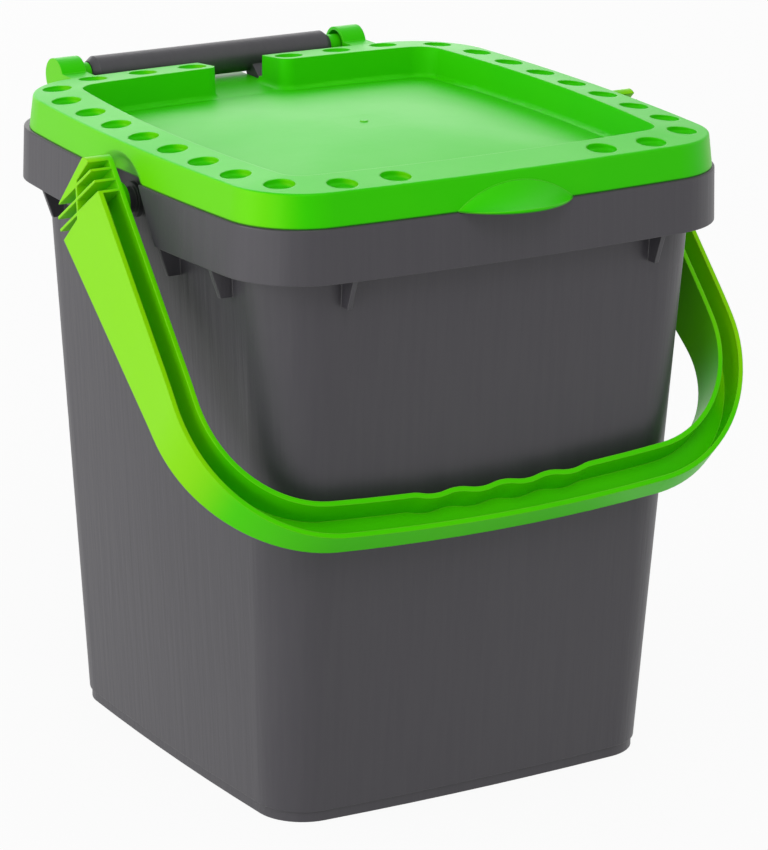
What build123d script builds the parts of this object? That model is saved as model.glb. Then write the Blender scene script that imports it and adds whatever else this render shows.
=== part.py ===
from build123d import *
import os
from math import atan, cos, degrees, pi, radians, sin, sqrt

os.makedirs("parts", exist_ok=True)

# Kerbside recycling bin in millimetres: a tub, a hinged lid and a swinging handle.
# The origin is the centre of the base, +Z is up, -Y is the front and +Y the hinge end.
# Outlines are rounded rectangles whose sides bow outwards. A half size is taken at the
# middle of a side, and a bow is how far that middle stands out past the square corner.

# Tub body
tub_height = 329.0
base_half_x = 118.6
base_half_y = 121.9
base_corner = 26.8
base_bow_x = 3.5
base_bow_y = 4.1
mouth_half_x = 138.6
mouth_half_y = 142.0
mouth_corner = 35.2
mouth_bow_x = 7.5
mouth_bow_y = 5.1
tub_wall = 2.6
floor_thickness = 2.8
floor_round = 8.0

# Foot of the tub
foot_height = 6.0
foot_step = 0.8
foot_ring = 4.0
foot_recess = 3.4
foot_rib = 3.0

# Hanging collar round the mouth
collar_reach_x = 11.4
collar_reach_y = 10.3
collar_corner = 43.0
collar_bow_x = 8.3
collar_bow_y = 5.8
collar_drop = 28.5
collar_draft = 0.8
collar_wall = 2.4
collar_round = 0.8

# Notch in each side of the collar, where the handle turns
notch_half_top = 23.7
notch_half_low = 41.7

# Gussets that hold the collar out from the tub
gusset_wall = 2.6
gusset_drop = 16.0
gusset_taper = 5.5
gusset_station = 93.0

# Hinge bar behind the collar, which is also the grip for tipping the bin
bar_reach = 19.7
bar_rise = 12.7
bar_radius = 9.2
bar_half = 77.0
bar_end_length = 3.6
bar_end_inset = 2.6
bracket_gap = 4.0
bracket_end_gap = 3.0
bracket_ribs = 3
bracket_wall = 2.6
bracket_knee_reach = 10.7
bracket_knee_drop = 8.0
bracket_roof_low = 6.0
bracket_lift = 2.0
bracket_overlap = 1.0

# Studs that the handle turns on
stud_drop = 14.0
stud_radius = 7.0
stud_end_gap = 0.05
stud_root_step = 2.5
stud_root = 3.0

# Lid
lid_setback = 2.0
lid_draft = 2.0
lid_skirt = 17.5
lid_wall = 2.2
lid_round = 1.3
lid_rear_corner = 50.0
rim_width = 26.0
rim_rise = 2.5
tray_draft = 1.0
panel_crown = 10.0
crown_steps = 8
crown_rounding = 60.0
panel_round = 3.0
gate_radius = 2.2
gate_height = 0.4

# Round dimples in the rim of the lid
dimple_radius = 8.0
dimple_depth = 3.0
dimple_floor_round = 1.8
dimple_pitch = 31.0
dimple_steps = 3
dimple_front_first = 2
dimple_side_inset = 17.0
dimple_side_bow = 2.7
dimple_end_inset = 17.7
dimple_corner_inset_x = 28.5
dimple_corner_inset_y = 30.8

# Channel through the rear rim, and the tongue that runs under the hinge bar
channel_half = 20.0
channel_mouth_round = 8.0
channel_end_round = 3.5
tongue_spare = 7.0
tongue_gap = 0.5
tongue_round = 2.5

# Thumb tab
tab_half = 35.0
tab_reach = 18.0
tab_rise = 12.5
tab_lip = 1.8
tab_wall = 2.0
tab_end_trim = 0.8
tab_sag_reach = 0.38
tab_sag_rise = 0.36
tab_steps = 4

# Side scoops that clear the handle
scoop_floor_inset = 8.5
scoop_floor_radius = 17.0
scoop_mouth_inset = 2.8
scoop_mouth_radius = 29.5

# Hinge lugs of the lid
lug_gap = 6.0
lug_width = 15.0
lug_step = 1.2
lug_wall = 1.8
lug_arm_lift = 2.5
lug_arm_cover = 3.3
boss_wall = 1.7
pin_radius = 4.5
pin_fit = 0.05
pin_reach = 15.0
pin_gap = 0.3
bore_spare = 1.0

# Handle, measured from its pivot along the arm (s) and across it (w)
rest_tilt = 41.9
handle_reach = 19.7
arm_spread = 0.02
arm_depth = 14.65
flange = 2.6
grip_spare = 51.3
grip_bow = 12.1
grip_depth = 17.8
outer_corner = 81.0
inner_corner = 61.7
arm_bend_s = 131.0
front_at_pivot = 22.7
front_at_bend = 10.6
front_at_grip = -9.4
rear_at_pivot = -31.6
rear_at_bend = -20.7
rear_at_grip = -21.9
bend_radius = 300.0
web_at_pivot = 6.3
web_slope = -0.129
web_wall = 2.6
back_pocket_gap = 13.8
rest_gap = 0.3

# Finger waves on the inside of the grip, which bows outwards
finger_count = 4
wave_pitch = 28.0
wave_inset = 7.4
wave_depth = 1.7
crest_bow = 1.3

# Ribbed hub of the handle
hub_end = 16.5
hub_bulge = 1.8
hub_bulge_round = 40.0
hub_front_round = 6.0
hub_rear_round = 16.0
fin_count = 3
fin_wall = 1.4
fin_pitch = 6.6
fin_first = -11.6
fin_slope = 0.24
end_wall_s = -12.6
heel_s = 2.7
square_slope = 0.08
spine_s = -12.0
spine_w = 4.0
spine_slope = -0.8
spine_wall = 2.4
sleeve_wall = 3.0
sleeve_fit = 0.05
sleeve_length = 9.0

# Sizes worked out from the ones above
collar_half_x = mouth_half_x + collar_reach_x
collar_half_y = mouth_half_y + collar_reach_y
collar_low = tub_height - collar_drop
bar_y = collar_half_y + bar_reach
bar_z = tub_height + bar_rise
bracket_near = channel_half + bracket_gap
bracket_far = bar_half - bracket_end_gap
bracket_knee_y = collar_half_y + bracket_knee_reach
bracket_knee_z = tub_height - bracket_knee_drop
handle_half = collar_half_x + handle_reach
stud_z = tub_height - stud_drop
stud_end = handle_half - arm_depth - stud_end_gap
stud_root_radius = stud_radius + stud_root_step
lid_low = tub_height
rim_outer_z = lid_low + lid_skirt
rim_inner_z = rim_outer_z + rim_rise
tray_inset = lid_setback + lid_draft + rim_width
panel_z = lid_low + lid_wall
tray_lean = tray_draft / (rim_inner_z - panel_z)
dimple_floor_z = rim_outer_z + rim_rise / 2 - dimple_depth
dimple_side_x = collar_half_x - dimple_side_inset
dimple_end_y = collar_half_y - dimple_end_inset
dimple_corner_x = collar_half_x - dimple_corner_inset_x
dimple_corner_y = collar_half_y - dimple_corner_inset_y
tongue_end_y = bar_y + tongue_spare
tongue_half = bracket_near - tongue_gap
scoop_floor_x = collar_half_x - scoop_floor_inset
scoop_mouth_x = collar_half_x - scoop_mouth_inset
lug_inner_x = bar_half + lug_gap
lug_outer_x = lug_inner_x + lug_width
lug_radius = bar_radius + lug_step
lug_arm_low = tub_height + lug_arm_lift
lug_arm_top = bar_z + lug_arm_cover
boss_radius = pin_radius + boss_wall
grip_reach = collar_half_y + grip_spare
grip_inside = grip_reach - grip_depth
wave_crest = grip_reach - wave_inset
back_pocket_end = grip_inside - back_pocket_gap
sleeve_radius = stud_radius + sleeve_wall
sleeve_end_x = stud_end - sleeve_length
overcut = 5.0
touch = 0.1


def draw_outline(half_x, half_y, corner, bow_x, bow_y, rear_corner):
    """A rounded rectangle with four bowed sides, in the current sketch."""
    side_x = half_x - bow_x
    side_y = half_y - bow_y
    with BuildLine() as border:
        ThreePointArc((side_x, -side_y), (half_x, 0), (side_x, side_y))
        ThreePointArc((side_x, side_y), (0, half_y), (-side_x, side_y))
        ThreePointArc((-side_x, side_y), (-half_x, 0), (-side_x, -side_y))
        ThreePointArc((-side_x, -side_y), (0, -half_y), (side_x, -side_y))
    make_face(border.edges())
    fillet(vertices().group_by(Axis.Y)[0], corner)
    fillet(vertices().group_by(Axis.Y)[-1], rear_corner)


def draw_tub_outline(z, inset):
    """The tub's outline at height z, moved in by inset."""
    share = z / tub_height
    corner = base_corner + (mouth_corner - base_corner) * share - inset
    draw_outline(
        base_half_x + (mouth_half_x - base_half_x) * share - inset,
        base_half_y + (mouth_half_y - base_half_y) * share - inset,
        corner,
        base_bow_x + (mouth_bow_x - base_bow_x) * share,
        base_bow_y + (mouth_bow_y - base_bow_y) * share,
        corner,
    )


def draw_collar_outline(inset, rear_corner=collar_corner):
    """The outline of the collar's lower edge, moved in by inset. The lid follows it too."""
    draw_outline(
        collar_half_x - inset,
        collar_half_y - inset,
        collar_corner - inset,
        collar_bow_x,
        collar_bow_y,
        rear_corner - inset,
    )


def tub_block(low, high, inset, mode=Mode.ADD):
    """The tub's drafted form from low to high."""
    sections = []
    for z in (low, high):
        with BuildSketch(Plane.XY.offset(z)) as section:
            draw_tub_outline(z, inset)
        sections.append(section.sketch.face())
    loft(sections, ruled=True, mode=mode)


def collar_block(low, low_inset, high, high_inset, mode=Mode.ADD, rear_corner=collar_corner):
    """A drafted block between two outlines of the collar."""
    sections = []
    for z, inset in ((low, low_inset), (high, high_inset)):
        with BuildSketch(Plane.XY.offset(z)) as section:
            draw_collar_outline(inset, rear_corner)
        sections.append(section.sketch.face())
    loft(sections, ruled=True, mode=mode)


def side_bow(distance, bow, half):
    """How far a bowed side has fallen back at a distance from its middle."""
    return bow * (distance / half) ** 2


def draw_notch(widening):
    """The notch's slanted sides, seen along X, each moved out by widening."""
    lean = (notch_half_low - notch_half_top) / collar_drop
    top_z = tub_height + overcut
    low_half = notch_half_low + widening
    top_half = notch_half_top - lean * overcut + widening
    with BuildLine() as border:
        Polyline(
            (-low_half, collar_low), (-top_half, top_z), (top_half, top_z), (low_half, collar_low),
            close=True,
        )
    make_face(border.edges())


# Tub
with BuildPart() as under_collar:
    collar_block(collar_low, collar_wall, tub_height - collar_wall, collar_draft + collar_wall)
    with BuildSketch(Plane.YZ):
        draw_notch(collar_wall)
    extrude(amount=collar_half_x, both=True, mode=Mode.SUBTRACT)

with BuildPart() as gussets:
    gusset_low = collar_low - gusset_drop
    collar_block(gusset_low, gusset_taper + collar_wall / 2, collar_low, collar_wall / 2)
    collar_block(collar_low, collar_wall / 2, tub_height - collar_wall / 2, collar_wall)
    notch_station = notch_half_low + gusset_wall / 2
    with BuildSketch(Plane.XY.offset(gusset_low)):
        with Locations((-gusset_station, 0), (gusset_station, 0)):
            Rectangle(gusset_wall, 2 * collar_half_y)
        for station in (-gusset_station, -notch_station, notch_station, gusset_station):
            with Locations((0, station)):
                Rectangle(2 * collar_half_x, gusset_wall)
    extrude(amount=collar_drop + gusset_drop, mode=Mode.INTERSECT)

with BuildPart() as tub_space:
    floor_top = foot_recess + floor_thickness
    tub_block(floor_top, tub_height + overcut, tub_wall)
    fillet(faces().sort_by(Axis.Z)[0].edges(), floor_round)

with BuildPart() as brackets:
    collar_back = collar_half_y - collar_wall
    roof_low = tub_height - bracket_roof_low
    rise_y = bar_y - collar_back
    rise_z = bar_z - roof_low
    run = sqrt(rise_y**2 + rise_z**2)
    roof_y = -bracket_wall * rise_z / run
    roof_z = bracket_wall * rise_y / run
    span = bracket_far - bracket_near
    rib_low = collar_low + bracket_lift
    with BuildSketch(Plane.YZ.offset(bracket_near)):
        with BuildLine():
            Polyline(
                (collar_back, roof_low), (bar_y, bar_z), (bar_y + roof_y, bar_z + roof_z),
                (collar_back + roof_y, roof_low + roof_z), close=True,
            )
        make_face()
    extrude(amount=span)
    for rib in range(bracket_ribs):
        rib_x = bracket_near + rib * (span - bracket_wall) / (bracket_ribs - 1)
        with BuildSketch(Plane.YZ.offset(rib_x)):
            with BuildLine():
                Polyline(
                    (collar_back, rib_low), (collar_half_y, rib_low), (bracket_knee_y, bracket_knee_z),
                    (bar_y, bar_z - bar_radius + bracket_overlap), (bar_y, bar_z),
                    (collar_back, roof_low + bracket_overlap), close=True,
                )
            make_face()
        extrude(amount=bracket_wall)
    mirror(about=Plane.YZ)

with BuildPart() as bar:
    with BuildSketch(Plane.XZ.offset(-bar_y)):
        with BuildLine():
            end_radius = bar_radius - bar_end_inset
            full_half = bar_half - bar_end_length
            Polyline(
                (-bar_half, bar_z), (-bar_half, bar_z + end_radius), (-full_half, bar_z + bar_radius),
                (full_half, bar_z + bar_radius), (bar_half, bar_z + end_radius), (bar_half, bar_z),
                close=True,
            )
        make_face()
    revolve(axis=Axis((0, bar_y, bar_z), (1, 0, 0)))

with BuildPart() as tub:
    collar_block(collar_low, 0, tub_height, collar_draft)
    fillet(faces().sort_by(Axis.Z)[-1].edges(), collar_round)
    add(under_collar.part, mode=Mode.SUBTRACT)
    with BuildSketch(Plane.YZ):
        draw_notch(0)
    extrude(amount=collar_half_x + overcut, both=True, mode=Mode.SUBTRACT)
    tub_block(foot_height, tub_height, 0)
    with BuildSketch(Plane.XY):
        draw_tub_outline(0, foot_step)
    extrude(amount=foot_height)
    add(gussets.part)
    add(brackets.part)
    add(tub_space.part, mode=Mode.SUBTRACT)
    with BuildSketch(Plane.XY):
        draw_tub_outline(0, foot_step + foot_ring)
        Rectangle(foot_rib, 2 * base_half_y, mode=Mode.SUBTRACT)
        Rectangle(2 * base_half_x, foot_rib, mode=Mode.SUBTRACT)
    extrude(amount=foot_recess, mode=Mode.SUBTRACT)
    add(bar.part)
    for side in (-1, 1):
        with BuildSketch(Plane.YZ.offset(side * bar_half)):
            with Locations((bar_y, bar_z)):
                Circle(pin_radius + pin_fit)
        extrude(amount=-side * (pin_reach + bore_spare), mode=Mode.SUBTRACT)
        wall_x = mouth_half_x - (mouth_half_x - base_half_x) * (tub_height - stud_z) / tub_height
        with BuildSketch(Plane.YZ.offset(side * (wall_x - tub_wall / 2))):
            with Locations((0, stud_z)):
                Circle(stud_root_radius)
        extrude(amount=side * (tub_wall / 2 + stud_root))
        with BuildSketch(Plane.YZ.offset(side * (wall_x - tub_wall / 2))):
            with Locations((0, stud_z)):
                Circle(stud_radius)
        extrude(amount=side * (stud_end - wall_x + tub_wall / 2))
tub.part.label = "tub"
export_step(tub.part, "parts/tub.step")


def rim_place(inset):
    """Height of the rim's sloping top where it lies inset from the collar's outline."""
    return rim_outer_z + rim_rise * (inset - lid_setback - lid_draft) / rim_width


def crown_block(base_z, inset, mode=Mode.ADD):
    """The crowned panel as a mound whose level lines grow rounder towards its top."""
    sections = []
    for step in range(crown_steps):
        share = 1 - step / crown_steps
        corner = (collar_corner - inset) * share + crown_rounding * share * (1 - share)
        with BuildSketch(Plane.XY.offset(base_z + panel_crown * (1 - share**2))) as section:
            draw_outline(
                (collar_half_x - inset) * share,
                (collar_half_y - inset) * share,
                corner,
                collar_bow_x * share,
                collar_bow_y * share,
                corner,
            )
        sections.append(section.sketch.face())
    loft(sections, mode=mode)


def dimple_places(z):
    """Centres of the rim's dimples at height z: both sides, the four corners, rear and front."""
    places = []
    for step in range(-dimple_steps, dimple_steps + 1):
        x = dimple_side_x - dimple_side_bow * (step / dimple_steps) ** 2
        for side in (-1, 1):
            places.append((side * x, step * dimple_pitch, z))
    for side in (-1, 1):
        places.append((side * dimple_corner_x, dimple_corner_y, z))
        places.append((side * dimple_corner_x, -dimple_corner_y, z))
        for step in range(1, dimple_steps + 1):
            places.append((side * step * dimple_pitch, dimple_end_y, z))
        for step in range(dimple_front_first, dimple_steps + 1):
            places.append((side * step * dimple_pitch, -dimple_end_y, z))
    return places


def scoop_block(wall, mode=Mode.ADD):
    """The dish of both side scoops, grown by wall, turned about the handle's axis."""
    for side in (-1, 1):
        with BuildSketch(Plane.XZ) as section:
            with BuildLine():
                floor_x = side * (scoop_floor_x - wall)
                mouth_x = side * (scoop_mouth_x - wall)
                outside_x = side * (collar_half_x + overcut)
                floor_z = stud_z + scoop_floor_radius + wall
                mouth_z = stud_z + scoop_mouth_radius + wall
                middle = ((floor_x + mouth_x) / 2, (floor_z + mouth_z) / 2)
                Line((floor_x, stud_z), (floor_x, floor_z))
                TangentArc((floor_x, floor_z), middle, tangent=(0, 1))
                TangentArc((mouth_x, mouth_z), middle, tangent=(0, -1))
                Polyline((mouth_x, mouth_z), (outside_x, mouth_z), (outside_x, stud_z), (floor_x, stud_z))
            make_face()
        revolve(section.sketch.face(), axis=Axis((0, 0, stud_z), (1, 0, 0)), mode=mode)


def tab_block(lift, thickness, mode=Mode.ADD):
    """The thumb tab: sections across X whose height and reach follow two arcs."""
    sections = []
    rise_radius = (tab_half**2 + tab_rise**2) / (2 * tab_rise)
    reach_radius = (tab_half**2 + tab_reach**2) / (2 * tab_reach)
    half = sqrt(reach_radius**2 - (reach_radius - tab_reach + thickness) ** 2) - tab_end_trim
    for step in range(-tab_steps, tab_steps + 1):
        x = half * sin(pi / 2 * step / tab_steps)
        rise = sqrt(rise_radius**2 - x**2) - (rise_radius - tab_rise) - thickness
        reach = sqrt(reach_radius**2 - x**2) - (reach_radius - tab_reach) - thickness
        root = -collar_half_y + lid_setback + lid_wall + side_bow(x, collar_bow_y, collar_half_x)
        face_y = root - lid_wall
        lip = tab_lip * reach / tab_reach * (1 - lift)
        base = lid_low - overcut * lift
        with BuildSketch(Plane.YZ.offset(x)) as section:
            with BuildLine():
                Line((root, lid_low + rise), (face_y, lid_low + rise))
                ThreePointArc(
                    (face_y, lid_low + rise),
                    (face_y - tab_sag_reach * reach, lid_low + lip + tab_sag_rise * (rise - lip)),
                    (face_y - reach, lid_low + lip),
                )
                Polyline((face_y - reach, lid_low + lip), (face_y - reach, base), (root, base))
                Line((root, base), (root, lid_low + rise))
            make_face()
        sections.append(section.sketch.face())
    loft(sections, mode=mode)


# Lid
with BuildPart() as tray:
    tray_top = rim_inner_z + overcut
    tray_end = collar_half_y - tray_inset - tray_draft
    rim_end = collar_half_y - lid_setback - lid_draft
    with BuildSketch(Plane.XY.offset(panel_z)):
        draw_collar_outline(tray_inset + tray_draft)
        with Locations((0, tray_end - overcut)):
            Rectangle(2 * channel_half, rim_end - tray_end + 2 * overcut, align=(Align.CENTER, Align.MIN))
        mouth = vertices().filter_by(lambda v: abs(abs(v.X) - channel_half) < touch)
        fillet(mouth.group_by(Axis.Y)[0], channel_mouth_round)
    extrude(amount=tray_top - panel_z, taper=-degrees(atan(tray_lean)))
    fillet(faces().sort_by(Axis.Z)[0].edges(), panel_round)
    lip_half = channel_half + channel_end_round + touch
    with BuildSketch(Plane.XY.offset(panel_z + panel_round)):
        with Locations((0, rim_end - overcut)):
            Rectangle(2 * channel_half, 2 * overcut, align=(Align.CENTER, Align.MIN))
        with Locations((0, rim_end)):
            Rectangle(2 * lip_half, 2 * overcut, align=(Align.CENTER, Align.MIN))
        lip = vertices().filter_by(lambda v: abs(abs(v.X) - channel_half) < touch)
        fillet(lip.group_by(Axis.Y)[-1], channel_end_round)
    extrude(amount=tray_top - panel_z - panel_round)
    crown_block(panel_z, tray_inset + tray_draft, mode=Mode.SUBTRACT)

with BuildPart() as dimples:
    with Locations(*dimple_places(dimple_floor_z)):
        Cylinder(dimple_radius, dimple_depth + overcut, align=(Align.CENTER, Align.CENTER, Align.MIN))
    fillet(faces().filter_by(Plane.XY).group_by(Axis.Z)[0].edges(), dimple_floor_round)

with BuildPart() as under_lid:
    skirt_inner = lid_setback + lid_wall
    roof_inset = skirt_inner + lid_draft
    roof_z = rim_place(roof_inset) - lid_wall
    roof_top = rim_place(tray_inset) - lid_wall
    collar_block(lid_low - overcut, skirt_inner, roof_z, roof_inset, rear_corner=lid_rear_corner)
    collar_block(roof_z, roof_inset, roof_top, tray_inset, rear_corner=lid_rear_corner)
    core_top = rim_inner_z + overcut
    core_inset = tray_inset - lid_wall
    collar_block(lid_low - overcut, core_inset + tray_draft, core_top, core_inset, mode=Mode.SUBTRACT)
    with BuildSketch(Plane.XY.offset(lid_low - overcut)):
        with Locations((0, collar_half_y)):
            Rectangle(2 * (channel_half + lid_wall), 2 * tray_inset + 4 * overcut)
        with Locations((0, tray_end)):
            Rectangle(2 * (channel_half + channel_mouth_round), 2 * channel_mouth_round)
    extrude(amount=lid_skirt + 2 * overcut, mode=Mode.SUBTRACT)
    scoop_block(lid_wall, mode=Mode.SUBTRACT)
    with Locations(*dimple_places(dimple_floor_z - lid_wall)):
        Cylinder(
            dimple_radius + lid_wall, dimple_depth + lid_wall + overcut,
            align=(Align.CENTER, Align.CENTER, Align.MIN), mode=Mode.SUBTRACT,
        )

with BuildPart() as under_panel:
    crown_inset = tray_inset + tray_draft + lid_wall
    crown_block(lid_low, crown_inset)
    collar_block(lid_low - overcut, crown_inset, lid_low, crown_inset)

with BuildPart() as tab:
    tab_block(0, 0)
    tab_block(1, tab_wall, mode=Mode.SUBTRACT)

with BuildPart() as lugs:
    arm_root = collar_half_y - tray_inset / 2
    with BuildSketch(Plane.YZ.offset(lug_inner_x)):
        with BuildLine():
            Polyline(
                (arm_root, lug_arm_low), (bar_y, lug_arm_low), (bar_y, lug_arm_top),
                (arm_root, lug_arm_top), close=True,
            )
        make_face()
    extrude(amount=lug_outer_x - lug_inner_x)
    with BuildSketch(Plane.YZ.offset(lug_inner_x + lug_wall)):
        with BuildLine():
            Polyline(
                (arm_root, lug_arm_low), (bar_y, lug_arm_low), (bar_y, lug_arm_top - lid_wall),
                (arm_root, lug_arm_top - lid_wall), close=True,
            )
        make_face()
    extrude(amount=lug_outer_x - lug_inner_x - 2 * lug_wall, mode=Mode.SUBTRACT)
    with BuildSketch(Plane.YZ.offset(lug_inner_x)):
        with Locations((bar_y, bar_z)):
            Circle(lug_radius)
    extrude(amount=lug_outer_x - lug_inner_x)
    with BuildSketch(Plane.YZ.offset(lug_inner_x)):
        with Locations((bar_y, bar_z)):
            Circle(lug_radius - lug_wall)
    extrude(amount=lug_outer_x - lug_inner_x - lug_wall, mode=Mode.SUBTRACT)
    with BuildSketch(Plane.YZ.offset(bar_half + pin_gap)):
        with Locations((bar_y, bar_z)):
            Circle(boss_radius)
    extrude(amount=lug_outer_x - lug_wall / 2 - bar_half - pin_gap)
    with BuildSketch(Plane.YZ.offset(bar_half - pin_reach)):
        with Locations((bar_y, bar_z)):
            Circle(pin_radius)
    extrude(amount=pin_reach + 2 * pin_gap)
    mirror(about=Plane.YZ)

with BuildPart() as lid:
    rim_inset = lid_setback + lid_draft
    rim_top_inset = tray_inset + lid_wall
    rim_top = rim_place(rim_top_inset)
    collar_block(lid_low, lid_setback, rim_outer_z, rim_inset, rear_corner=lid_rear_corner)
    collar_block(rim_outer_z, rim_inset, rim_top, rim_top_inset, rear_corner=lid_rear_corner)
    fillet(edges().filter_by_position(Axis.Z, rim_outer_z - touch, rim_outer_z + touch), lid_round)
    add(tray.part, mode=Mode.SUBTRACT)
    with BuildSketch(Plane.XY.offset(lid_low)):
        with Locations((0, tray_end)):
            Rectangle(2 * channel_half, rim_end - tray_end, align=(Align.CENTER, Align.MIN))
        with Locations((0, rim_end)):
            Rectangle(2 * tongue_half, tongue_end_y - rim_end, align=(Align.CENTER, Align.MIN))
        fillet(vertices().group_by(Axis.Y)[-1], tongue_round)
    extrude(amount=lid_wall)
    add(lugs.part)
    add(under_lid.part, mode=Mode.SUBTRACT)
    add(under_panel.part, mode=Mode.SUBTRACT)
    add(dimples.part, mode=Mode.SUBTRACT)
    scoop_block(0, mode=Mode.SUBTRACT)
    add(tab.part)
    with BuildSketch(Plane.XY.offset(panel_z + panel_crown - lid_wall / 2)):
        Circle(gate_radius)
    extrude(amount=lid_wall / 2 + gate_height)
lid.part.label = "lid"
export_step(lid.part, "parts/lid.step")


def arm_x(s):
    """Outside half width of the handle at a distance along its arm."""
    return handle_half + arm_spread * s


def front_w(s):
    """Front edge of the arm between the pivot and its bend, and on beyond."""
    return front_at_pivot + (front_at_bend - front_at_pivot) / arm_bend_s * s


def web_w(s):
    """Front face of the web that joins the two flanges."""
    return web_at_pivot + web_slope * s


def crest_s(x):
    """Place of the grip's inside edge, which bows outwards between the fingers too."""
    return wave_crest - crest_bow * (x / wave_pitch / 2) ** 2


def wave_point(x):
    """Point where the grip's finger waves cross their middle line."""
    return (x, -crest_s(x) - wave_depth / 2)


def draw_bail():
    """The handle's plan: arms along Y, the grip at the far end with its finger waves."""
    inside_hub = arm_x(-hub_end) - arm_depth
    inside_grip = arm_x(grip_inside) - arm_depth
    outside_grip = arm_x(grip_reach)
    quarter = wave_pitch / 4
    wave_end = finger_count / 2 * wave_pitch
    between = (inside_grip + wave_end) / 2
    with BuildLine() as border:
        ThreePointArc((-outside_grip, -grip_reach), (0, -grip_reach - grip_bow), (outside_grip, -grip_reach))
        for side in (-1, 1):
            Polyline(
                (side * outside_grip, -grip_reach), (side * arm_x(-hub_end), hub_end),
                (side * inside_hub, hub_end), (side * inside_grip, -grip_inside),
            )
            ThreePointArc(
                (side * inside_grip, -grip_inside), (side * between, -crest_s(between)),
                (side * wave_end, -crest_s(wave_end)),
            )
        for half_wave in range(2 * finger_count - 1):
            x = (half_wave - finger_count + 1) * wave_pitch / 2
            dip = wave_depth * (1 - half_wave % 2)
            ThreePointArc(wave_point(x - quarter), (x, -crest_s(x) - dip), wave_point(x + quarter))
        for side in (-1, 1):
            last = wave_point(side * (wave_end - quarter))
            TangentArc((side * wave_end, -crest_s(wave_end)), last, tangent=(-side, 0))
    make_face(border.edges())
    fillet(vertices().group_by(Axis.Y)[-2], inner_corner)
    fillet(vertices().group_by(Axis.Y)[0], outer_corner)


def fin_s(number, w):
    """Middle of a hub fin at w across the arm. The fins lean towards the grip at the front."""
    return fin_first + number * fin_pitch + fin_slope * w


def draw_pockets(first, last, above):
    """Hub pockets on one side of the spine, between two bounding lines, less the fins."""
    far = hub_end + handle_half / 2
    spine = spine_wall / 2 if above else -spine_wall / 2
    with BuildLine() as border:
        edge = far if above else -far
        first_spine = spine_w + spine + spine_slope * (first[0] - spine_s)
        last_spine = spine_w + spine + spine_slope * (last[0] - spine_s)
        Polyline(
            (-first[0] - first[1] * first_spine, first_spine), (-first[0] - first[1] * edge, edge),
            (-last[0] - last[1] * edge, edge), (-last[0] - last[1] * last_spine, last_spine), close=True,
        )
    make_face(border.edges())


# Handle
arm_plane = Plane(
    origin=(0, 0, stud_z),
    x_dir=(1, 0, 0),
    z_dir=(0, -sin(radians(rest_tilt)), cos(radians(rest_tilt))),
)
side_plane = Plane(
    origin=(0, 0, stud_z),
    x_dir=(0, cos(radians(rest_tilt)), sin(radians(rest_tilt))),
    z_dir=(1, 0, 0),
)
last_fin = fin_first + (fin_count - 1) * fin_pitch

with BuildPart() as channel:
    deep = handle_half / 2
    far_s = grip_reach + grip_bow + overcut
    with BuildSketch(arm_plane):
        draw_bail()
        offset(amount=-flange)
    extrude(amount=deep, both=True)
    with BuildSketch(side_plane):
        start = fin_wall / 2 + last_fin
        front_start = (start + fin_slope * web_at_pivot) / (1 - fin_slope * web_slope)
        heel = heel_s + fin_wall
        rear_start = heel + square_slope * (web_w(heel) - web_wall)
        with BuildLine():
            Polyline(
                (-front_start, web_w(front_start)), (-start - fin_slope * deep, deep),
                (-far_s, deep), (-far_s, web_w(far_s)), close=True,
            )
        make_face()
        with BuildLine():
            Polyline(
                (-rear_start, web_w(rear_start) - web_wall), (-heel + square_slope * deep, -deep),
                (-back_pocket_end, -deep), (-back_pocket_end, web_w(back_pocket_end) - web_wall), close=True,
            )
        make_face()
    extrude(amount=handle_half + overcut, both=True, mode=Mode.INTERSECT)

with BuildPart() as hub_pockets:
    with BuildSketch(side_plane.offset(handle_half - arm_depth + flange)):
        draw_pockets((end_wall_s, square_slope), (last_fin - fin_wall / 2, fin_slope), True)
        draw_pockets((fin_first + fin_wall / 2, fin_slope), (heel_s, square_slope), False)
        for number in range(fin_count):
            with BuildLine() as fin:
                edge = 2 * hub_end
                Line((-fin_s(number, edge), edge), (-fin_s(number, -edge), -edge))
            trace(fin.line, line_width=fin_wall, mode=Mode.SUBTRACT)
    extrude(amount=arm_depth)
    mirror(about=Plane.YZ)

with BuildPart() as handle:
    with BuildSketch(arm_plane):
        draw_bail()
    extrude(amount=deep, both=True)
    with BuildSketch(side_plane):
        with BuildLine():
            FilletPolyline(
                (hub_end, front_w(-hub_end)), (-arm_bend_s, front_at_bend), (-far_s, front_at_grip),
                (-far_s, rear_at_grip), (-arm_bend_s, rear_at_bend), (hub_end, rear_at_pivot),
                (hub_end + hub_bulge, (front_at_pivot + rear_at_pivot) / 2),
                radius=[
                    hub_front_round, bend_radius, flange, flange, bend_radius, hub_rear_round,
                    hub_bulge_round,
                ],
                close=True,
            )
        make_face()
    extrude(amount=handle_half + overcut, both=True, mode=Mode.INTERSECT)
    add(channel.part, mode=Mode.SUBTRACT)
    add(hub_pockets.part, mode=Mode.SUBTRACT)
    tub_block(tub_height / 3, collar_low - gusset_drop, -rest_gap, mode=Mode.SUBTRACT)
    sleeve_top_x = handle_half - arm_depth + flange / 2
    for side in (-1, 1):
        with BuildSketch(Plane.YZ.offset(side * sleeve_end_x)):
            with Locations((0, stud_z)):
                Circle(sleeve_radius)
        extrude(amount=side * (sleeve_top_x - sleeve_end_x))
        with BuildSketch(Plane.YZ.offset(side * sleeve_end_x)):
            with Locations((0, stud_z)):
                Circle(stud_radius + sleeve_fit)
        extrude(amount=side * (stud_end + rest_gap - sleeve_end_x), mode=Mode.SUBTRACT)
handle.part.label = "handle"
export_step(handle.part, "parts/handle.step")
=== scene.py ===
import bpy
from math import pi
from mathutils import Matrix, Vector

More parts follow.
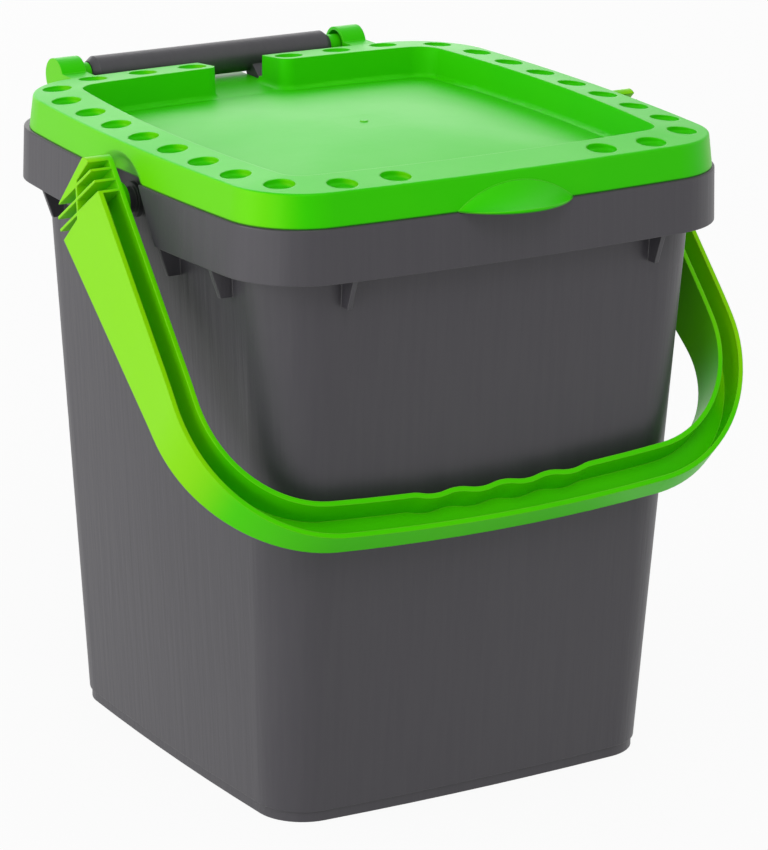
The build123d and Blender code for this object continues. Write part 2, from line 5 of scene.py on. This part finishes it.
# Recycling bin in metres: the grey tub, the green lid and the green carrying handle.
# -Y is the front, +Y the hinge end, and the bin stands on z = 0.
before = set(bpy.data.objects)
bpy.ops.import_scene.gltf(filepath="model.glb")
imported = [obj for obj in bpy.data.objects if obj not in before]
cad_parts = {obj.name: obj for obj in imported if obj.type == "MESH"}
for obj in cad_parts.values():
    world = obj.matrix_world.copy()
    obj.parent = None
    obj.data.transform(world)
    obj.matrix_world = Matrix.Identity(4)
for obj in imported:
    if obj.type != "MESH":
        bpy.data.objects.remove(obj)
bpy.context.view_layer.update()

# Camera at the photograph's place: angles in radians, lens and film in millimetres
CAMERA_PLACE = (-1.1089, -1.8457, 0.8452)
CAMERA_TURN = -0.5469
CAMERA_TIP = -0.3034
CAMERA_ROLL = 0.0121
CAMERA_LENS = 174.86
FILM_SIZE = 36.0

# White paper floor, which glows where it is seen, so that it stays white
WHITE = (1, 1, 1, 1)
FLOOR_HALF = 6.0
FLOOR_TONE = (0.6, 0.6, 0.6, 1)
FLOOR_GLOW_SHARE = 0.93
FLOOR_MOTTLES = 3
FLOOR_MOTTLE_SHARE = 0.03

# Strength of the light from all round
ROOM_LIGHT = 0.64

# Lamps: where each hangs, the height over the origin that it shines at, its side and its watts
LAMPS = {
    "left_lamp": ((-2.6, 0.3, 0.9), 0.2, 1.6, 30),
    "corner_lamp": ((-2.4, -1.4, 0.4), 0.25, 0.8, 10),
    "front_lamp": ((-0.6, -2.2, 2.8), 0.2, 1.4, 26),
    "rear_lamp": ((0.7, 2.4, 1.3), 0.34, 2.2, 18),
}

# Colours of the tub, and of the painted shade in the seam where the lid meets it
TUB_GREY = (0.036, 0.033, 0.041, 1)
TUB_GREY_PALE = (0.07, 0.068, 0.072, 1)
TUB_SCUFF = (0.16, 0.16, 0.16, 1)
# Painted shade: the dark line in the seam under the lid
SEAM_PAINTED_SHADE = (0.012, 0.013, 0.012, 1)

# Colours of the lid and the handle
LID_GREEN = (0.04, 0.57, 0.0, 1)
LID_GREEN_DEEP = (0.01, 0.5, 0.0, 1)
# Painted light: the yellower green of the lid's lit side walls
LID_PAINTED_SIDE_LIGHT = (0.16, 0.6, 0.0, 1)
# Painted highlight along the lid's edges, with some wear
LID_EDGE_WEAR_AND_HIGHLIGHT = (0.2, 0.78, 0.06, 1)
HANDLE_GREEN = (0.08, 0.64, 0.0, 1)
HANDLE_GREEN_DEEP = (0.02, 0.52, 0.0, 1)
# Painted light: the yellower green of the handle's lit arms
HANDLE_PAINTED_SIDE_LIGHT = (0.23, 0.66, 0.0, 1)
# Painted highlight along the handle's edges, with some wear
HANDLE_EDGE_WEAR_AND_HIGHLIGHT = (0.36, 0.8, 0.07, 1)

# Sheen: the tint of what a moulding mirrors head on, and how strongly it mirrors
GREY_TINT = (1, 1, 1, 1)
GREEN_TINT = (0.25, 1, 0.1, 1)
TUB_GLOSS = 0.5
LID_GLOSS = 0.42
HANDLE_GLOSS = 0.18

# Roughness, and how much the clouds and the grain add to it
TUB_ROUGHNESS = 0.36
LID_ROUGHNESS = 0.35
HANDLE_ROUGHNESS = 0.34
GREY_CLOUD_ROUGHNESS = 0.1
GREY_GRAIN_ROUGHNESS = 0.06
GREEN_CLOUD_ROUGHNESS = 0.12

# Noise in patches to a metre: moulded grain, the dimpled skin over it, clouds and broken edge wear,
# with painted highlights on the greens' edges
GREY_GRAIN = 1900
GREY_PEEL = 90
GREY_CLOUDS = 9
GREY_WEAR = 160
GREEN_GRAIN = 2300
GREEN_PEEL = 70
GREEN_CLOUDS = 14
GREEN_WEAR_AND_HIGHLIGHT = 200
FINE_DETAIL = 2
CLOUD_DETAIL = 3

# Flow marks in the grey, thin across a wall and long down it, and where they start and peak
FLOW_PATCHES = (260, 260, 4)
FLOW_STARTS = 0.3
FLOW_PEAKS = 0.7

# How strongly each thing shows in the colours
GREY_CLOUD_SHARE = 0.25
GREY_FLOW_SHARE = 0.1
GREEN_CLOUD_SHARE = 0.6
TUB_WEAR_SHARE = 0.4
# Painted edge highlight with wear on the greens
LID_WEAR_AND_HIGHLIGHT_SHARE = 0.5
HANDLE_WEAR_AND_HIGHLIGHT_SHARE = 0.4
# Painted shade in the seam
TUB_SEAM_SHADE_SHARE = 0.8
LID_SEAM_SHADE_SHARE = 0.6
# Painted light on the lid's sides
LID_SIDE_LIGHT_SHARE = 0.7

# Depth of the grain, and how many times deeper the other marks are
GREY_DEPTH = 0.00002
GREY_PEEL_DEPTHS = 4
GREY_FLOW_DEPTHS = 3
GREEN_DEPTH = 0.000012
GREEN_PEEL_DEPTHS = 6

# Edges: the radius that they are rounded over, and the turn of the normals where wear, with painted
# highlights on the greens, starts and where it is full
EDGE_RADIUS = 0.0009
EDGE_SAMPLES = 6
WEAR_AND_HIGHLIGHT_STARTS = 0.03
WEAR_AND_HIGHLIGHT_FULL = 0.2
WEAR_AND_HIGHLIGHT_LEAST = 0.5

# Seam between lid and collar, darkened with painted shade: its height, how far above and below it
# the shade lies, and the share of that where it is full
SEAM_HEIGHT = 0.329
SEAM_SHADE_REACH = 0.0009
SEAM_SHADE_FULL = 0.3

# Painted light, a yellower green where the sides face strong light: from how squarely to the side
# the lid's walls face, and from how far to the side of the middle the handle's arms lie
LID_SIDE_LIGHT_STARTS = 0.35
LID_SIDE_LIGHT_FULL = 0.95
HANDLE_SIDE_LIGHT_STARTS = 0.15
HANDLE_SIDE_LIGHT_FULL = 0.17


class Value:
    """An output of a node. Arithmetic on it adds Math nodes."""

    def __init__(self, nodes, output):
        self.nodes = nodes
        self.output = output

    def math(self, operation, *values):
        return self.nodes.node("ShaderNodeMath", {"operation": operation}, values)

    def __add__(self, other):
        return self.math("ADD", self, other)

    def __sub__(self, other):
        return self.math("SUBTRACT", self, other)

    def __rsub__(self, other):
        return self.math("SUBTRACT", other, self)

    def __mul__(self, other):
        return self.math("MULTIPLY", self, other)

    def __abs__(self):
        return self.math("ABSOLUTE", self)

    __radd__ = __add__
    __rmul__ = __mul__

    def sign(self):
        """-1 where the value is below 0 and 1 where it is above."""
        return self.math("SIGN", self)


def find_socket(sockets, key):
    """A node's socket by its number, its identifier or its name."""
    if isinstance(key, int):
        return sockets[key]
    return next(socket for socket in sockets if key in (socket.identifier, socket.name))


class Nodes:
    """The nodes of a material or of the room."""

    def __init__(self, tree):
        self.tree = tree
        self.tree.nodes.clear()

    def node(self, kind, settings, inputs, output=0):
        """Adds a node. Its settings come first, then the values or links of its sockets."""
        node = self.tree.nodes.new(kind)
        for setting, value in settings.items():
            setattr(node, setting, value)
        pairs = inputs.items() if isinstance(inputs, dict) else enumerate(inputs)
        for key, value in pairs:
            socket = find_socket(node.inputs, key)
            if isinstance(value, Value):
                self.tree.links.new(value.output, socket)
            else:
                socket.default_value = value
        if node.outputs:
            return Value(self, find_socket(node.outputs, output))

    def seen(self):
        """1 where the camera or a reflection looks, and 0 where light only bounces."""
        direct = self.node("ShaderNodeLightPath", {}, {}, "Is Camera Ray")
        mirrored = self.node("ShaderNodeLightPath", {}, {}, "Is Glossy Ray")
        return direct + mirrored


class Finish(Nodes):
    """The material of one moulding, or of the floor."""

    def __init__(self, name):
        self.material = bpy.data.materials.new(name)
        self.material.use_nodes = True
        super().__init__(self.material.node_tree)

    def place(self, patches=(1, 1, 1)):
        """A point of the piece, in metres times the patches along each axis."""
        point = self.node("ShaderNodeTexCoord", {}, {}, "Object")
        return self.node("ShaderNodeVectorMath", {"operation": "MULTIPLY"}, [point, patches])

    def part_along(self, vector, axis):
        """The part of a vector that lies along an axis."""
        return self.node("ShaderNodeSeparateXYZ", {}, [vector], axis)

    def noise(self, scale, detail=FINE_DETAIL, patches=(1, 1, 1)):
        """Cloudy variation between 0 and 1, scale patches to a metre."""
        inputs = {"Vector": self.place(patches), "Scale": scale, "Detail": detail}
        return self.node("ShaderNodeTexNoise", {}, inputs, "Fac")

    def step(self, value, low, high):
        """0 below low, 1 above high and a smooth step between them."""
        inputs = {"Value": value, "From Min": low, "From Max": high}
        return self.node("ShaderNodeMapRange", {"interpolation_type": "SMOOTHSTEP"}, inputs)

    def mix(self, share, first, second):
        """The first colour where share is 0 and the second where it is 1."""
        inputs = {"Factor_Float": share, "A_Color": first, "B_Color": second}
        return self.node("ShaderNodeMix", {"data_type": "RGBA"}, inputs, "Result_Color")

    def edges(self):
        """Normals rounded over the edges, and how far they turn there."""
        rounded = self.node("ShaderNodeBevel", {"samples": EDGE_SAMPLES}, {"Radius": EDGE_RADIUS})
        flat = self.node("ShaderNodeNewGeometry", {}, {}, "Normal")
        settings = {"operation": "DOT_PRODUCT"}
        kept = self.node("ShaderNodeVectorMath", settings, [rounded, flat], "Value")
        return rounded, 1 - kept

    def edge_wear_and_highlight(self, turn, patches):
        """1 at an edge, broken up by noise: worn skin on the grey, and on the greens wear with a
        painted highlight.
        """
        broken = WEAR_AND_HIGHLIGHT_LEAST + self.noise(patches, CLOUD_DETAIL)
        return self.step(turn * broken, WEAR_AND_HIGHLIGHT_STARTS, WEAR_AND_HIGHLIGHT_FULL)

    def bump(self, height, depth, normal):
        """Normals tilted by a height map that is depth metres deep."""
        inputs = {"Height": height, "Distance": depth, "Strength": 1.0, "Normal": normal}
        return self.node("ShaderNodeBump", {}, inputs)

    def distance(self, axis, middle):
        """How far a point of the piece lies from middle along an axis."""
        return abs(self.part_along(self.place(), axis) - middle)

    def facing_out(self, axis):
        """How squarely a point faces away from the middle of the piece along an axis."""
        facing = self.node("ShaderNodeTexCoord", {}, {}, "Normal")
        side = self.part_along(self.place(), axis).sign()
        return self.part_along(facing, axis) * side

    def seam_shade_mask(self):
        """1 at the seam between lid and collar, fading out above and below it: where the painted
        shade of the seam lies.
        """
        full = SEAM_SHADE_REACH * SEAM_SHADE_FULL
        return 1 - self.step(self.distance("Z", SEAM_HEIGHT), full, SEAM_SHADE_REACH)

    def surface(self, colour, roughness, normal, gloss, tint):
        """Ends the material with its shader."""
        inputs = {
            "Base Color": colour, "Roughness": roughness, "Normal": normal,
            "Specular IOR Level": gloss, "Specular Tint": tint,
        }
        shader = self.node("ShaderNodeBsdfPrincipled", {}, inputs)
        self.node("ShaderNodeOutputMaterial", {}, {"Surface": shader})


def cover(node, finish):
    """Gives a CAD node the finish."""
    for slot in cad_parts[node].material_slots:
        slot.material = finish.material


def grey_finish():
    """Satin grey polypropylene: flow marks down it, scuffed edges and painted shade in the seam at
    the collar's top.
    """
    finish = Finish("satin_grey_polypropylene")
    rounded, turn = finish.edges()
    grain = finish.noise(GREY_GRAIN)
    peel = finish.noise(GREY_PEEL)
    clouds = finish.noise(GREY_CLOUDS, CLOUD_DETAIL)
    flow = finish.step(finish.noise(1, CLOUD_DETAIL, FLOW_PATCHES), FLOW_STARTS, FLOW_PEAKS)
    paleness = clouds * GREY_CLOUD_SHARE + flow * GREY_FLOW_SHARE
    colour = finish.mix(paleness, TUB_GREY, TUB_GREY_PALE)
    colour = finish.mix(finish.edge_wear_and_highlight(turn, GREY_WEAR) * TUB_WEAR_SHARE, colour, TUB_SCUFF)
    # Painted shade in the seam under the lid
    colour = finish.mix(finish.seam_shade_mask() * TUB_SEAM_SHADE_SHARE, colour, SEAM_PAINTED_SHADE)
    roughness = TUB_ROUGHNESS + clouds * GREY_CLOUD_ROUGHNESS + grain * GREY_GRAIN_ROUGHNESS
    height = grain + peel * GREY_PEEL_DEPTHS + flow * GREY_FLOW_DEPTHS
    normal = finish.bump(height, GREY_DEPTH, rounded)
    finish.surface(colour, roughness, normal, TUB_GLOSS, GREY_TINT)
    return finish


def green_base(finish, green, deep):
    """What both greens share: cloudy colour, grained normals, edge wear with painted edge
    highlights and rough patches.
    """
    rounded, turn = finish.edges()
    clouds = finish.noise(GREEN_CLOUDS, CLOUD_DETAIL)
    height = finish.noise(GREEN_GRAIN) + finish.noise(GREEN_PEEL) * GREEN_PEEL_DEPTHS
    colour = finish.mix(clouds * GREEN_CLOUD_SHARE, green, deep)
    normal = finish.bump(height, GREEN_DEPTH, rounded)
    return colour, normal, finish.edge_wear_and_highlight(turn, GREEN_WEAR_AND_HIGHLIGHT), clouds * GREEN_CLOUD_ROUGHNESS


def lid_finish():
    """Semi-gloss green polypropylene, with painted light on its side walls, painted highlights
    along worn edges and painted shade at the seam.
    """
    finish = Finish("semi_gloss_lid_green")
    colour, normal, edge_wear_and_highlight, rough = green_base(finish, LID_GREEN, LID_GREEN_DEEP)
    # Painted light: the lid's side walls made yellower, as if strongly lit
    painted_side_light = finish.step(finish.facing_out("X"), LID_SIDE_LIGHT_STARTS, LID_SIDE_LIGHT_FULL)
    colour = finish.mix(painted_side_light * LID_SIDE_LIGHT_SHARE, colour, LID_PAINTED_SIDE_LIGHT)
    # Painted highlight along worn edges
    colour = finish.mix(edge_wear_and_highlight * LID_WEAR_AND_HIGHLIGHT_SHARE, colour, LID_EDGE_WEAR_AND_HIGHLIGHT)
    # Painted shade in the seam above the collar
    colour = finish.mix(finish.seam_shade_mask() * LID_SEAM_SHADE_SHARE, colour, SEAM_PAINTED_SHADE)
    finish.surface(colour, LID_ROUGHNESS + rough, normal, LID_GLOSS, GREEN_TINT)
    return finish


def handle_finish():
    """Semi-gloss green polypropylene, with painted light, a yellower green, towards the outside of
    the arms, and painted highlights along worn edges.
    """
    finish = Finish("semi_gloss_handle_green")
    colour, normal, edge_wear_and_highlight, rough = green_base(finish, HANDLE_GREEN, HANDLE_GREEN_DEEP)
    # Painted light: a yellower green towards the outside of the arms
    painted_side_light = finish.step(finish.distance("X", 0.0), HANDLE_SIDE_LIGHT_STARTS, HANDLE_SIDE_LIGHT_FULL)
    colour = finish.mix(painted_side_light, colour, HANDLE_PAINTED_SIDE_LIGHT)
    # Painted highlight along worn edges
    colour = finish.mix(edge_wear_and_highlight * HANDLE_WEAR_AND_HIGHLIGHT_SHARE, colour, HANDLE_EDGE_WEAR_AND_HIGHLIGHT)
    finish.surface(colour, HANDLE_ROUGHNESS + rough, normal, HANDLE_GLOSS, GREEN_TINT)
    return finish


def place_camera():
    """Sets the camera at the photograph's place and angle."""
    lens = bpy.data.cameras.new("camera")
    lens.lens = CAMERA_LENS
    lens.sensor_width = FILM_SIZE
    camera = bpy.data.objects.new("camera", lens)
    bpy.context.scene.collection.objects.link(camera)
    turn = Matrix.Rotation(CAMERA_TURN, 4, "Z")
    tip = Matrix.Rotation(pi / 2 + CAMERA_TIP, 4, "X")
    roll = Matrix.Rotation(CAMERA_ROLL, 4, "Z")
    camera.matrix_world = Matrix.Translation(CAMERA_PLACE) @ turn @ tip @ roll
    bpy.context.scene.camera = camera


def white_paper():
    """Faintly mottled white paper."""
    paper = Finish("white_paper")
    mottle = paper.noise(FLOOR_MOTTLES) * FLOOR_MOTTLE_SHARE
    matt = paper.node("ShaderNodeBsdfDiffuse", {}, {"Color": paper.mix(mottle, FLOOR_TONE, WHITE)})
    glow = paper.node("ShaderNodeEmission", {}, {"Color": WHITE, "Strength": 1.0})
    both = paper.node("ShaderNodeMixShader", {}, [paper.seen() * FLOOR_GLOW_SHARE, matt, glow])
    paper.node("ShaderNodeOutputMaterial", {}, {"Surface": both})
    return paper


def lay_floor():
    """A plain white floor that keeps the bin's shadow."""
    mesh = bpy.data.meshes.new("floor")
    signs = ((-1, -1), (1, -1), (1, 1), (-1, 1))
    corners = [(x * FLOOR_HALF, y * FLOOR_HALF, 0) for x, y in signs]
    mesh.from_pydata(corners, [], [(0, 1, 2, 3)])
    mesh.materials.append(white_paper().material)
    floor = bpy.data.objects.new("floor", mesh)
    bpy.context.scene.collection.objects.link(floor)


def light_room():
    """White light from all round, full white where the camera or a reflection sees it."""
    world = bpy.data.worlds.new("room")
    bpy.context.scene.world = world
    world.use_nodes = True
    room = Nodes(world.node_tree)
    strength = room.seen() * (1 - ROOM_LIGHT) + ROOM_LIGHT
    inputs = {"Color": WHITE, "Strength": strength}
    background = room.node("ShaderNodeBackground", {}, inputs)
    room.node("ShaderNodeOutputWorld", {}, {"Surface": background})


def hang_lamp(name, place, aim_height, side, watts):
    """A square soft lamp that shines from its place at a point over the origin."""
    lamp = bpy.data.lights.new(name, "AREA")
    lamp.size = side
    lamp.energy = watts
    holder = bpy.data.objects.new(name, lamp)
    bpy.context.scene.collection.objects.link(holder)
    direction = Vector((0, 0, aim_height)) - Vector(place)
    turn = direction.to_track_quat("-Z", "Y").to_matrix().to_4x4()
    holder.matrix_world = Matrix.Translation(place) @ turn


place_camera()
lay_floor()
light_room()
for lamp_name, lamp_values in LAMPS.items():
    hang_lamp(lamp_name, *lamp_values)

cover("tub", grey_finish())
cover("lid", lid_finish())
cover("handle", handle_finish())

bpy.context.scene.view_settings.view_transform = "Standard"
